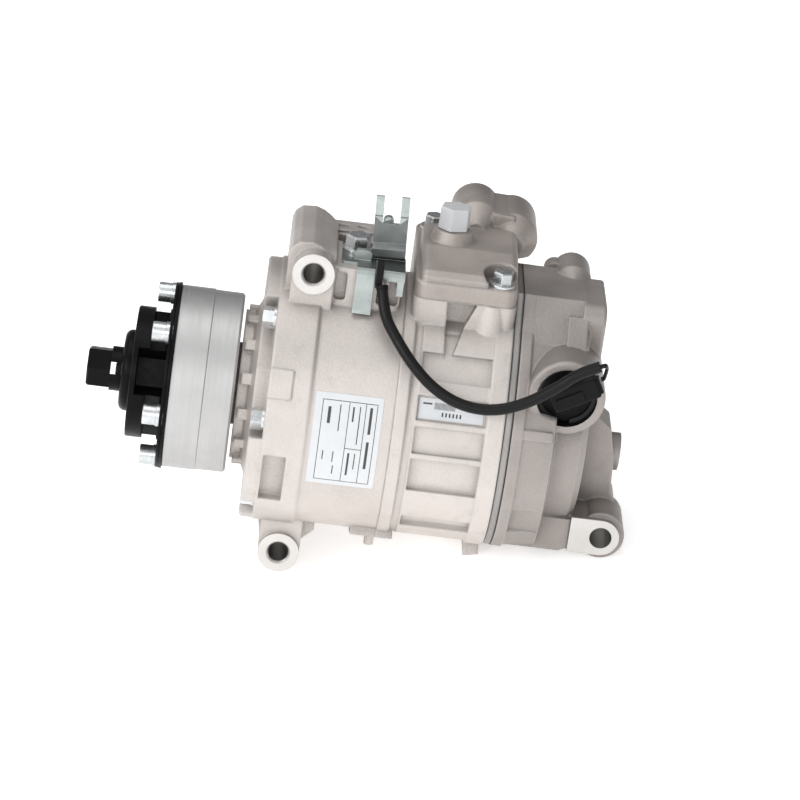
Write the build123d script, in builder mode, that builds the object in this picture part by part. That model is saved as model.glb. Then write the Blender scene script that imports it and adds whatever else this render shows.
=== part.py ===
"""Automotive AC compressor: clutchless variable swash-plate unit with a direct-drive coupling.

Frame, in millimetres: the origin is the centre of the drive hex's free end, X runs along the shaft
towards the rear housing, the mounting bores run along Y and Z is up. Angles round the shaft are
measured from -Y towards +Z.
"""

import os
from math import cos, pi, radians, sin

from build123d import *

os.makedirs("parts", exist_ok=True)

# ---- stations along the shaft ----
hex_end = 10.5
boss_end = 15.5
cap_end = 20.0
spider_end = 35.2
drum_start = 38.0
drum_seam = 53.3
drum_end = 66.5
tube_start = 46.0  # front end of the bearing tube of the front housing
nose_start = 67.7
nose_end = 72.0
rim_start = 75.0
rim_end = 81.0  # seat of the through bolts' heads
crankcase_start = 84.0  # front wall of the crankcase
band_end = 100.6
seam = 136.8  # joint of the front housing and the cylinder housing
block_end = 184.9
rear_start = 188.7
lip_end = 193.5
rear_step = 207.5
rear_end = 223.4
deck_end = 219.0  # rear end of the flat deck on the rear housing
end_plate_x = 225.4

# ---- radii about the shaft ----
hex_r = 9.6
spider_r = 29.5
drum_r = 41.0
nose_r = 33.5
rim_r = 59.0
band_r = 59.5
barrel_r = 58.2
cavity_r = 44.0
shaft_r = 9.0
bearing_seat_r = 13.0

# ---- cylinders, swash plate and through bolts ----
cylinders = 7
cylinder_pitch_r = 36.0
bore_r = 14.65
first_bolt = 57.5
first_cylinder = first_bolt + 180 / cylinders
bolt_circle_r = 52.3
bolt_r = 3.0
bolt_hole_r = 3.3
bolt_head_af = 8.5
plate_x = 124.0  # middle plane of the swash plate
plate_t = 8.0
plate_r = 42.5
shoe_sphere_r = 8.5
fit = 0.03  # radial clearance of a running fit
film = 0.02  # oil film between a shoe and the swash plate

# ---- mounting bosses, along Y ----
front_boss_x = 94.7
front_boss_z = 67.0
front_boss_r = 9.3
front_boss_y = 30.0
mount_bore_r = 4.5
ear_x = 237.0
ear_z = -40.8
ear_bore_r = 5.0
ear_face_y = -31.0
ear_half = 8.4

# ---- pedestal of the harness bracket, on the front housing ----
pedestal_top = 70.0
bracket_bolt_x, bracket_bolt_y = 113.0, -4.0

# ---- port cover on top of the cylinder housing ----
deck_z = 62.0
flange_top = 70.2
cover_top = 79.0
stack_top = 64.2  # flat top of the plates behind the cylinder housing
cover_x0 = 139.4
cover_x1 = 184.6
cover_y0 = -31.0
cover_y1 = 48.0
gasket_t = 0.6
cover_bolts = ((177.3, -23.4), (147.3, 40.5))
service_x = 154.3
service_y = 6.0
service_z = 83.7
suction_x, suction_z, suction_r = 165.5, 77.6, 10.8
discharge_x, discharge_z, discharge_r = 182.3, 73.0, 11.8
port_y0, port_y1 = 32.0, 58.0
suction_bore_r = 7.5
discharge_bore_r = 5.0
port_bore_end = 31.0
stud_x, stud_z, stud_r = 174.4, 71.5, 2.0

# ---- control valve, its axis along Y ----
valve_x = 210.4
valve_z = 32.3
collar_r = 17.0
collar_y = -52.0
valve_mouth_r = 13.3
valve_bore_r = 11.5
valve_seat_y = -40.0
valve_bore_end = 18.0

# ---- cable from the bracket's connector to the valve's plug ----
cable_d = 5.0


def across(x):
    """The plane across the shaft at station x: its own axes are Y and Z."""
    return Plane.YZ.offset(x)


def facing(y):
    """The plane at depth y that faces -Y: its own axes are X and Z."""
    return Plane.XZ.offset(-y)


def ring_point(radius, angle):
    """A point of a plane across the shaft, from its radius and its angle from -Y towards +Z."""
    return (-radius * cos(radians(angle)), radius * sin(radians(angle)))


def polar(radius, count, first):
    """Evenly spaced places round the shaft, on a plane across it."""
    return PolarLocations(radius, count, start_angle=180 - first)


def sector(x, inner, outer, start, stop):
    """A sector of a ring whose inner edge is straight, on the plane across the shaft at x."""
    reach = outer / cos(radians(stop - start) / 2)
    with BuildSketch(across(x)) as face:
        with BuildLine():
            Polyline(
                ring_point(inner, start),
                ring_point(reach, start),
                ring_point(reach, stop),
                ring_point(inner, stop),
                close=True,
            )
        make_face()
    return face.sketch


def ring(x, outer, inner):
    """A flat ring about the shaft, on the plane across it at x."""
    with BuildSketch(across(x)) as face:
        Circle(outer)
        Circle(inner, mode=Mode.SUBTRACT)
    return face.sketch


def washer(node, start, end, outer, inner):
    """One plain ring about the shaft, written to its own node."""
    with BuildPart() as piece:
        extrude(ring(start, outer, inner), amount=end - start)
    piece.part.label = node
    export_step(piece.part, f"parts/{node}.step")
    return piece.part


def cylinder_lobes(x, radius):
    """The seven circles on the cylinders' axes, on the plane across the shaft at x."""
    with BuildSketch(across(x)) as lobes:
        with polar(cylinder_pitch_r, cylinders, first_cylinder):
            Circle(radius)
    return lobes.sketch


def bolt_holes(x, radius):
    """The seven circles on the through bolts' axes, on the plane across the shaft at x."""
    with BuildSketch(across(x)) as holes:
        with polar(bolt_circle_r, cylinders, first_bolt):
            Circle(radius)
    return holes.sketch


# ==== drive end: everything here turns with the shaft ====

with BuildPart() as drive_hex:
    with BuildSketch(across(0)):
        RegularPolygon(hex_r, 6, rotation=-15)
    extrude(amount=hex_end)
    chamfer(drive_hex.faces().sort_by(Axis.X)[0].edges(), length=0.8)
    with BuildSketch(across(hex_end)):
        Circle(10)
    extrude(amount=boss_end - hex_end)
    with Locations((0, 0, 0)):
        Cylinder(5, 9, rotation=(0, 90, 0), align=(Align.CENTER, Align.CENTER, Align.MIN), mode=Mode.SUBTRACT)
    with BuildSketch(across(boss_end)):
        Circle(6.6)
    extrude(amount=hex_end - boss_end, mode=Mode.SUBTRACT)
    with BuildSketch(across(hex_end)):
        with polar(9.7, 2, 22):
            Rectangle(3, 5.6)
    extrude(amount=2.6, mode=Mode.SUBTRACT)
drive_hex.part.label = "drive_hex"
export_step(drive_hex.part, "parts/drive_hex.step")

with BuildPart() as key_clips:
    with BuildSketch(across(hex_end + 0.1)):
        with polar(9.55, 2, 22):
            Rectangle(2.4, 5.4)
    extrude(amount=2.4)
key_clips.part.label = "key_clips"
export_step(key_clips.part, "parts/key_clips.step")

with BuildPart() as hub_cap:
    with BuildSketch(across(boss_end)):
        Circle(18.3)
    extrude(amount=cap_end - boss_end)
    fillet(hub_cap.faces().sort_by(Axis.X)[0].edges(), radius=3.2)
    with BuildSketch(across(boss_end)):
        Circle(6.6)
    extrude(amount=cap_end - boss_end, mode=Mode.SUBTRACT)
hub_cap.part.label = "hub_cap"
export_step(hub_cap.part, "parts/hub_cap.step")

with BuildPart() as coupling_spider:
    with BuildSketch(across(cap_end)):
        Circle(spider_r)
    extrude(amount=spider_end - cap_end)
    fillet(coupling_spider.faces().sort_by(Axis.X)[0].edges(), radius=0.8)
    for window in (22, 142, 262):
        extrude(sector(22.5, 17.5, 33, window - 21, window + 21), amount=spider_end - 22.5, mode=Mode.SUBTRACT)
    for leg in (82, 202, 322):
        extrude(sector(27.6, 28.6, 33, leg - 40, leg + 40), amount=6.6, mode=Mode.SUBTRACT)
    with BuildSketch(across(cap_end)):
        Circle(6.6)
    extrude(amount=spider_end - cap_end, mode=Mode.SUBTRACT)
    with BuildSketch(across(28)):
        Circle(14)
        Circle(9.5, mode=Mode.SUBTRACT)
    extrude(amount=spider_end - 28, mode=Mode.SUBTRACT)
coupling_spider.part.label = "coupling_spider"
export_step(coupling_spider.part, "parts/coupling_spider.step")

screw_circle_r = 36.6
screw_angles_first = 52
for node, start, end, outer, inner in (
    ("front_drive_plate", spider_end, spider_end + 1.3, 41.8, 7.5),
    ("rear_drive_plate", spider_end + 1.5, drum_start, 42.0, 22.0),
):
    with BuildPart() as drive_plate:
        with BuildSketch(across(start)):
            Circle(outer)
            Circle(inner, mode=Mode.SUBTRACT)
            with polar(screw_circle_r, 6, screw_angles_first):
                Circle(2.6, mode=Mode.SUBTRACT)
            with polar(30, 3, 22):
                SlotOverall(16, 5, rotation=90, mode=Mode.SUBTRACT)
        extrude(amount=end - start)
    drive_plate.part.label = node
    export_step(drive_plate.part, f"parts/{node}.step")

with BuildPart() as plate_spacers:
    with BuildSketch(across(spider_end + 1.3)):
        with polar(screw_circle_r, 6, screw_angles_first):
            Circle(4.6)
            Circle(2.6, mode=Mode.SUBTRACT)
    extrude(amount=0.2)
plate_spacers.part.label = "plate_spacers"
export_step(plate_spacers.part, "parts/plate_spacers.step")

with BuildPart() as coupling_screws:
    with BuildSketch(across(27.6)):
        with polar(screw_circle_r, 6, screw_angles_first):
            Circle(4.5)
    extrude(amount=6.0)
    fillet(coupling_screws.faces().group_by(Axis.X)[0].edges(), radius=0.5)
    with BuildSketch(across(27.6)):
        with polar(screw_circle_r, 6, screw_angles_first):
            RegularPolygon(2.2, 6)
    extrude(amount=3, mode=Mode.SUBTRACT)
    with BuildSketch(across(33.6)):
        with polar(screw_circle_r, 6, screw_angles_first):
            Circle(2.5)
    extrude(amount=16.0)
coupling_screws.part.label = "coupling_screws"
export_step(coupling_screws.part, "parts/coupling_screws.step")

with BuildPart() as screw_washers:
    with BuildSketch(across(33.6)):
        with polar(screw_circle_r, 6, screw_angles_first):
            Circle(4.9)
            Circle(2.6, mode=Mode.SUBTRACT)
    extrude(amount=spider_end - 33.6)
screw_washers.part.label = "screw_washers"
export_step(screw_washers.part, "parts/screw_washers.step")

bearing_outer_r = 27.5
bearing_inner_r = 18.5
bearing_start, bearing_end = 48.5, 62.5
with BuildPart() as drum_front_ring:
    with BuildSketch(Plane.XZ):
        with BuildLine():
            Polyline(
                (drum_start, 24.5),
                (drum_start, drum_r),
                (drum_seam, drum_r),
                (drum_seam, bearing_outer_r),
                (bearing_start, bearing_outer_r),
                (bearing_start, 24.5),
                close=True,
            )
        make_face()
    revolve(axis=Axis.X)
    chamfer(drum_front_ring.edges().filter_by(GeomType.CIRCLE).sort_by(SortBy.RADIUS)[-2:], length=0.4)
    with BuildSketch(across(drum_start)):
        with polar(screw_circle_r, 6, screw_angles_first):
            Circle(2.5)
    extrude(amount=12.4, mode=Mode.SUBTRACT)
drum_front_ring.part.label = "drum_front_ring"
export_step(drum_front_ring.part, "parts/drum_front_ring.step")

with BuildPart() as drum_rear_ring:
    with BuildSketch(Plane.XZ):
        with BuildLine():
            Polyline(
                (drum_seam, bearing_outer_r),
                (drum_seam, drum_r - 0.4),
                (drum_end - 1.0, drum_r - 0.5),
                (drum_end, drum_r - 1.5),
                (drum_end, 36.0),
                (drum_seam + 6, 36.0),
                (drum_seam + 6, 31.0),
                (drum_end - 1.5, 31.0),
                (drum_end - 1.5, bearing_outer_r),
                close=True,
            )
        make_face()
    revolve(axis=Axis.X)
drum_rear_ring.part.label = "drum_rear_ring"
export_step(drum_rear_ring.part, "parts/drum_rear_ring.step")

washer("bearing_outer_race", bearing_start, bearing_end, bearing_outer_r, 24.6)
washer("bearing_inner_race", bearing_start, bearing_end, 21.4, bearing_inner_r)
with BuildPart() as bearing_balls:
    with Locations((bearing_start + bearing_end) / 2 * Vector(1, 0, 0)):
        with Locations(Plane.YZ):
            with PolarLocations(23.0, 16):
                Sphere(1.57)
bearing_balls.part.label = "bearing_balls"
export_step(bearing_balls.part, "parts/bearing_balls.step")

with BuildPart() as bearing_seals:
    for start in (bearing_start + 0.4, bearing_end - 1.6):
        extrude(ring(start, 24.6, 21.45), amount=1.2)
bearing_seals.part.label = "bearing_seals"
export_step(bearing_seals.part, "parts/bearing_seals.step")

# ==== shaft and swash mechanism ====

with BuildPart() as shaft:
    with BuildSketch(Plane.XZ):
        with BuildLine():
            Polyline(
                (hex_end + 0.2, 0),
                (hex_end + 0.2, 5.6),
                (hex_end + 1.2, 6.6),
                (40.0, 6.6),
                (42.0, 8.0),
                (66.0, 8.0),
                (67.0, shaft_r),
                (160.0, shaft_r),
                (161.0, 8.0),
                (172.0, 8.0),
                (172.0, 0),
                close=True,
            )
        make_face()
    revolve(axis=Axis.X)
    with BuildSketch(across(154)):
        Circle(2.5)
    extrude(amount=18.0, mode=Mode.SUBTRACT)
shaft.part.label = "shaft"
export_step(shaft.part, "parts/shaft.step")

lug_start, lug_end = 88.0, 99.0
hinge_x, hinge_z = 107.0, 21.5
with BuildPart() as lug_plate:
    with BuildSketch(across(lug_start)):
        Circle(38)
        Circle(shaft_r, mode=Mode.SUBTRACT)
    extrude(amount=lug_end - lug_start)
    extrude(sector(lug_start + 4, 20, 40, 200, 340), amount=7.5, mode=Mode.SUBTRACT)
    for side in (-1, 1):
        with BuildSketch(Plane.XZ.offset(side * 9.0 - 2.5)):
            with BuildLine():
                Polyline((lug_end, 14), (lug_end + 12, 17.5), (lug_end + 12, 25.5), (lug_end, 30), close=True)
            make_face()
        extrude(amount=5.0)
lug_plate.part.label = "lug_plate"
export_step(lug_plate.part, "parts/lug_plate.step")

with BuildPart() as swash_plate:
    with BuildSketch(across(plate_x - plate_t / 2)):
        Circle(plate_r)
        Circle(shaft_r + 0.25, mode=Mode.SUBTRACT)
    extrude(amount=plate_t)
    with BuildSketch(across(plate_x + plate_t / 2)):
        Circle(20)
        Circle(shaft_r + 0.25, mode=Mode.SUBTRACT)
    extrude(amount=5.0)
    with BuildSketch(Plane.XZ.offset(-5.9)):
        with BuildLine():
            Polyline(
                (plate_x - plate_t / 2, 13),
                (hinge_x - 3.5, 17),
                (hinge_x - 3.5, 26),
                (plate_x - plate_t / 2, 27.5),
                close=True,
            )
        make_face()
    extrude(amount=11.8)
    with Locations(Plane.XZ.offset(-5.9)):
        with Locations((hinge_x, hinge_z)):
            Cylinder(2.5, 12, align=(Align.CENTER, Align.CENTER, Align.MIN), mode=Mode.SUBTRACT)
swash_plate.part.label = "swash_plate"
export_step(swash_plate.part, "parts/swash_plate.step")

with BuildPart() as hinge_pin:
    with Locations(Plane.XZ.offset(-6.0)):
        with Locations((hinge_x, hinge_z)):
            Cylinder(2.5, 12, align=(Align.CENTER, Align.CENTER, Align.MIN))
hinge_pin.part.label = "hinge_pin"
export_step(hinge_pin.part, "parts/hinge_pin.step")

with BuildPart() as return_spring:
    with BuildLine() as coil:
        Helix(pitch=4.0, height=18.0, radius=11.2, center=(lug_end + 1.1, 0, 0), direction=(1, 0, 0))
    with BuildSketch(Plane(coil.line @ 0, z_dir=coil.line % 0)):
        Circle(0.9)
    sweep(is_frenet=True)
return_spring.part.label = "return_spring"
export_step(return_spring.part, "parts/return_spring.step")

washer("shaft_stop_ring", 138.0, 140.0, 12.0, shaft_r)
washer("front_thrust_race", 84.05, 85.05, 20.0, shaft_r + 0.3)
washer("rear_thrust_race", 86.95, lug_start, 20.0, shaft_r + 0.3)
with BuildPart() as thrust_rollers:
    for step in range(18):
        roller = Plane(
            origin=(86.0, *ring_point(12.2, step * 20)),
            z_dir=(0, *ring_point(1, step * 20)),
        )
        with Locations(roller):
            Cylinder(0.92, 6.5, align=(Align.CENTER, Align.CENTER, Align.MIN))
thrust_rollers.part.label = "thrust_rollers"
export_step(thrust_rollers.part, "parts/thrust_rollers.step")

washer("front_needle_bearing", 70.0, 82.0, bearing_seat_r, shaft_r + fit)
washer("rear_needle_bearing", 146.0, 158.0, bearing_seat_r, shaft_r + fit)

with BuildPart() as shaft_seal:
    with BuildSketch(Plane.XZ):
        with BuildLine():
            Polyline(
                (56.0, 11.2),
                (56.0, bearing_seat_r),
                (64.0, bearing_seat_r),
                (64.0, 11.2),
                (61.0, 11.2),
                (59.5, 8.03),
                (58.8, 8.03),
                (58.8, 11.2),
                close=True,
            )
        make_face()
    revolve(axis=Axis.X)
shaft_seal.part.label = "shaft_seal"
export_step(shaft_seal.part, "parts/shaft_seal.step")
washer("seal_circlip", 54.6, 55.8, 14.0, 10.5)

# ==== pistons and shoes ====


def cylinder_centre(number):
    """Y and Z of a cylinder's axis."""
    return ring_point(cylinder_pitch_r, first_cylinder + number * 360 / cylinders)


piston_start = 112.5
piston_end = block_end - 0.7


def dome(x, y, z, radius, start):
    """What a ball about (x, y, z) has beyond start along X; start is counted from its centre."""
    rim = (radius**2 - start**2) ** 0.5
    with BuildSketch(Plane(origin=(x, y, z), x_dir=(1, 0, 0), z_dir=(0, 0, 1))) as half:
        with BuildLine():
            Line((start, 0), (radius, 0))
            if rim > 0.01:
                Line((start, 0), (start, rim))
            RadiusArc((start, rim), (radius, 0), radius)
        make_face()
    return revolve(half.sketch, axis=Axis((x, y, z), (1, 0, 0)), mode=Mode.PRIVATE)


with BuildPart() as piston:
    with BuildSketch(across(piston_start)):
        with Locations(cylinder_centre(0)):
            Circle(bore_r - fit)
    extrude(amount=piston_end - piston_start)
    with BuildSketch(across(piston_start)):
        Circle(29.0)
    extrude(amount=143.0 - piston_start, mode=Mode.SUBTRACT)
    extrude(ring(plate_x - 5.5, plate_r + 0.8, 20.0), amount=11.0, mode=Mode.SUBTRACT)
    socket = dome(plate_x, *cylinder_centre(0), shoe_sphere_r + film, 0)
    add(socket, mode=Mode.SUBTRACT)
    add(socket.mirror(Plane.YZ.offset(plate_x)), mode=Mode.SUBTRACT)

with BuildPart() as pistons:
    for number in range(cylinders):
        add(piston.part.rotate(Axis.X, number * 360 / cylinders))
pistons.part.label = "pistons"
export_step(pistons.part, "parts/pistons.step")

with BuildPart() as shoes:
    for number in range(cylinders):
        shoe = dome(plate_x, *cylinder_centre(number), shoe_sphere_r, plate_t / 2 + film)
        add(shoe)
        add(shoe.mirror(Plane.YZ.offset(plate_x)))
shoes.part.label = "shoes"
export_step(shoes.part, "parts/shoes.step")

# ==== front housing ====


with BuildPart() as front_housing:
    with BuildSketch(Plane.XZ):
        with BuildLine():
            Polyline(
                (tube_start, 0),
                (tube_start, bearing_inner_r),
                (nose_start, bearing_inner_r),
                (nose_start, nose_r),
                (nose_end, nose_r),
                (rim_start, 40.0),
                (rim_start, rim_r - 1),
                (rim_start + 1, rim_r),
                (rim_end, rim_r),
                (rim_end + 0.5, band_r),
                (band_end - 1.5, band_r),
                (band_end, barrel_r),
                (seam, barrel_r),
                (seam, 0),
                close=True,
            )
        make_face()
    revolve(axis=Axis.X)
    # mounting bosses with their webs
    for side in (-1, 1):
        with BuildSketch(facing(front_boss_y - 2)):
            with Locations((front_boss_x, side * 55)):
                Rectangle(2 * front_boss_r, 2 * abs(front_boss_z - 55))
        extrude(amount=2 * front_boss_y - 4)
        with BuildSketch(facing(front_boss_y)):
            with Locations((front_boss_x, side * front_boss_z)):
                Circle(front_boss_r)
        extrude(amount=2 * front_boss_y)
    # wide shoulder behind the upper boss's face, and the flared foot of the lower boss
    with BuildSketch(facing(28)):
        with BuildLine():
            Polyline(
                (83.2, 50),
                (83.2, 72.4),
                (84.4, 75.6),
                (87.4, 78.0),
                (93.4, 78.4),
                (97.4, 77.0),
                (104.0, 72.0),
                (104.0, 50),
                close=True,
            )
        make_face()
    extrude(amount=49)
    with BuildSketch(facing(22)):
        with BuildLine():
            Polyline((84.0, -54), (85.4, -62.5), (104.0, -62.5), (109.5, -57.5), (109.5, -54), close=True)
        make_face()
    extrude(amount=44)
    # pedestal for the harness bracket and the rib behind it
    with BuildSketch(Plane.XY.offset(40)):
        with Locations((118.5, -2)):
            RectangleRounded(31, 46, 3)
    extrude(amount=pedestal_top - 40)
    with BuildSketch(Plane.XY.offset(40)):
        with Locations((109.5, 28)):
            RectangleRounded(23, 12, 2)
    extrude(amount=31)
    # raised pad and locating peg under the seam
    extrude(sector(125.5, 50, 60.6, -82, -58), amount=seam - 125.5)
    with BuildSketch(Plane.XY.offset(-61.6)):
        with Locations((seam - 2.2, -20)):
            Circle(2.2)
    extrude(amount=12)
    # square pad, ledge and ribs on the side
    extrude(sector(rim_end, 56, band_r + 0.5, 17.6, 29.9), amount=10.3)
    # bearing seat and crankcase
    with BuildSketch(across(tube_start)):
        Circle(bearing_seat_r)
    extrude(amount=crankcase_start - tube_start, mode=Mode.SUBTRACT)
    with BuildSketch(across(crankcase_start)):
        Circle(cavity_r)
    extrude(amount=seam - crankcase_start, mode=Mode.SUBTRACT)
    extrude(cylinder_lobes(104.0, bore_r + 0.6), amount=seam - 104.0, mode=Mode.SUBTRACT)
    extrude(bolt_holes(rim_start, bolt_hole_r), amount=seam - rim_start, mode=Mode.SUBTRACT)
    # pockets for the through bolts' heads
    extrude(sector(rim_start, 45.0, 61, 0, 32), amount=rim_end - rim_start, mode=Mode.SUBTRACT)
    extrude(sector(rim_start, 45.0, 61, 31, 64), amount=rim_end - rim_start, mode=Mode.SUBTRACT)
    for number in range(cylinders):
        angle = first_bolt + number * 360 / cylinders
        extrude(sector(rim_start, 45.0, 61, angle - 7, angle + 7), amount=rim_end - rim_start, mode=Mode.SUBTRACT)
    # shallow pockets of the casting
    extrude(sector(82.4, 56.2, 62, -34, -8), amount=10.0, mode=Mode.SUBTRACT)
    for x, width in ((104.6, 5.0), (123.2, 3.6), (128.2, 4.6)):
        with BuildSketch(facing(-21.5)):
            with Locations((x + width / 2, 61.5)):
                RectangleRounded(width, 13, 1.5)
        extrude(amount=20, mode=Mode.SUBTRACT)
    with BuildSketch(Plane.XY.offset(pedestal_top)):
        with Locations((108.5, 14)):
            RectangleRounded(8, 10, 2)
    extrude(amount=-8, mode=Mode.SUBTRACT)
    for x in (106.5, 115.5):
        with BuildSketch(Plane.XY.offset(64)):
            with Locations((x, 28)):
                SlotOverall(5.2, 2.6)
        extrude(amount=8, mode=Mode.SUBTRACT)
    # castellated ring behind the drum
    for rib in range(14):
        extrude(sector(69.0, 31.0, 36.0, rib * 360 / 14 - 4, rib * 360 / 14 + 4), amount=5.0)
    # machined bores
    for side in (-1, 1):
        with BuildSketch(facing(front_boss_y)):
            with Locations((front_boss_x, side * front_boss_z)):
                Circle(mount_bore_r)
        extrude(amount=2 * front_boss_y, mode=Mode.SUBTRACT)
    with BuildSketch(across(54.6)):
        Circle(14.0)
        Circle(bearing_seat_r, mode=Mode.SUBTRACT)
    extrude(amount=1.2, mode=Mode.SUBTRACT)
    with BuildSketch(Plane.XY.offset(pedestal_top)):
        with Locations((bracket_bolt_x, bracket_bolt_y)):
            Circle(3.0)
    extrude(amount=-10, mode=Mode.SUBTRACT)
    extrude(ring(seam - 1.2, 56.8, 55.9), amount=1.2, mode=Mode.SUBTRACT)
    for side in (-1, 1):
        for end in (-1, 1):
            mouth = Plane(origin=(front_boss_x, end * front_boss_y, side * front_boss_z), z_dir=(0, -end, 0))
            with BuildSketch(mouth):
                Circle(mount_bore_r + 1.1)
            extrude(amount=1.1, taper=45, mode=Mode.SUBTRACT)
front_housing.part.label = "front_housing"
export_step(front_housing.part, "parts/front_housing.step")

washer("body_seal", seam - 1.2, seam, 56.8, 55.9)

# ==== cylinder housing ====

with BuildPart() as cylinder_housing:
    with BuildSketch(Plane.XZ):
        with BuildLine():
            Polyline(
                (seam, bearing_seat_r),
                (seam, rim_r),
                (seam + 5.0, rim_r),
                (seam + 6.0, 57.3),
                (seam + 8.0, 57.3),
                (seam + 9.0, 58.0),
                (176.5, 58.0),
                (177.5, rim_r),
                (block_end, rim_r),
                (block_end, bearing_seat_r),
                close=True,
            )
        make_face()
    revolve(axis=Axis.X)
    # pedestal of the port cover
    with BuildSketch(Plane.XY.offset(40)):
        with Locations(((cover_x0 + block_end) / 2, 9)):
            RectangleRounded(block_end - cover_x0, 76, 4)
    extrude(amount=deck_z - 40)
    with BuildSketch(Plane.XY.offset(40)):
        with Locations((174.4, -22.4)):
            Circle(10.4)
        with Locations((148.5, -20)):
            Circle(10.6)
    extrude(amount=deck_z - 40, taper=8)
    with BuildSketch(Plane.XY.offset(40)):
        with Locations((147.3, 41)):
            Circle(6.5)
    extrude(amount=deck_z - 40)
    with BuildSketch(Plane.XY.offset(deck_z)):
        with Locations(*cover_bolts):
            Circle(2.5)
    extrude(amount=-11, mode=Mode.SUBTRACT)
    extrude(sector(177.5, 50, 64.6, -93, -72), amount=6.8)
    extrude(sector(seam, 50, 60.6, -82, -58), amount=7.5)
    # notch in the pedestal's face
    with BuildSketch(facing(-23)):
        with BuildLine():
            Polyline((154.4, deck_z - 0.4), (167.6, deck_z - 0.4), (166.2, 58.0), (158.0, 38.5), (155.6, 38.5), close=True)
        make_face()
    extrude(amount=30, mode=Mode.SUBTRACT)
    extrude(ring(155.0, 56.0, 45.0), amount=16.0)
    # side panels, cast a little below the barrel
    for start, stop, depth in ((33, 46, 1.4), (15.5, 26.5, 1.0), (0.5, 12.8, 1.2), (-18.5, -2.0, 1.5), (-46, -36, 1.6)):
        extrude(
            sector(seam + 9.5, 58.0 * cos(radians(stop - start) / 2) - depth, 62, start, stop),
            amount=30.5,
            mode=Mode.SUBTRACT,
        )
    # crankcase mouth, cylinders, shaft bore and bolt holes
    with BuildSketch(across(seam)):
        Circle(cavity_r)
    extrude(amount=6.0, mode=Mode.SUBTRACT)
    extrude(cylinder_lobes(seam, bore_r), amount=block_end - seam, mode=Mode.SUBTRACT)
    extrude(bolt_holes(seam, bolt_hole_r), amount=block_end - seam, mode=Mode.SUBTRACT)
cylinder_housing.part.label = "cylinder_housing"
export_step(cylinder_housing.part, "parts/cylinder_housing.step")

# ==== plates between the cylinder housing and the rear housing ====

plate_stack = (
    ("cylinder_gasket", 0.4, bore_r, 4.2),
    ("suction_reed_plate", 0.4, 0, 4.2),
    ("valve_plate", 2.0, 0, 4.2),
    ("discharge_reed_plate", 0.4, 0, 4.2),
    ("head_gasket", 0.6, 12.0, 0),
)


def deck_corners(top):
    """Y and Z of the corners of a flat-topped deck whose front edge slants down to the barrel."""
    return ((30, 20), (30, top - 6), (25, top), (-14, top), (-31.4, top - 15.8), (-20, 20))


def stack_outline(x):
    """The outer shape of the plates and of the rear housing's flange: a circle with a flat-topped deck."""
    with BuildSketch(across(x)) as outline:
        Circle(rim_r - 0.6)
        with BuildLine():
            Polyline(*deck_corners(stack_top), close=True)
        make_face()
    return outline.sketch


plate_start = block_end
for node, thickness, open_r, port_r in plate_stack:
    with BuildPart() as stack_plate:
        extrude(stack_outline(plate_start), amount=thickness)
        extrude(bolt_holes(plate_start, bolt_hole_r), amount=thickness, mode=Mode.SUBTRACT)
        if open_r:
            extrude(cylinder_lobes(plate_start, open_r), amount=thickness, mode=Mode.SUBTRACT)
        if port_r and not open_r:
            with BuildSketch(across(plate_start)):
                with polar(cylinder_pitch_r - 9, cylinders, first_cylinder):
                    Circle(port_r - 1)
                with polar(cylinder_pitch_r + 7, cylinders, first_cylinder):
                    Circle(port_r)
            extrude(amount=thickness, mode=Mode.SUBTRACT)
    stack_plate.part.label = node
    export_step(stack_plate.part, f"parts/{node}.step")
    plate_start += thickness

# ==== rear housing ====

with BuildPart() as rear_deck:
    with BuildSketch(across(rear_start)):
        with BuildLine():
            Polyline(*deck_corners(stack_top - 0.1), close=True)
        make_face()
    extrude(amount=deck_end - rear_start)
    fillet(rear_deck.faces().sort_by(Axis.X)[-1].edges(), radius=2.5)

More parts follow.
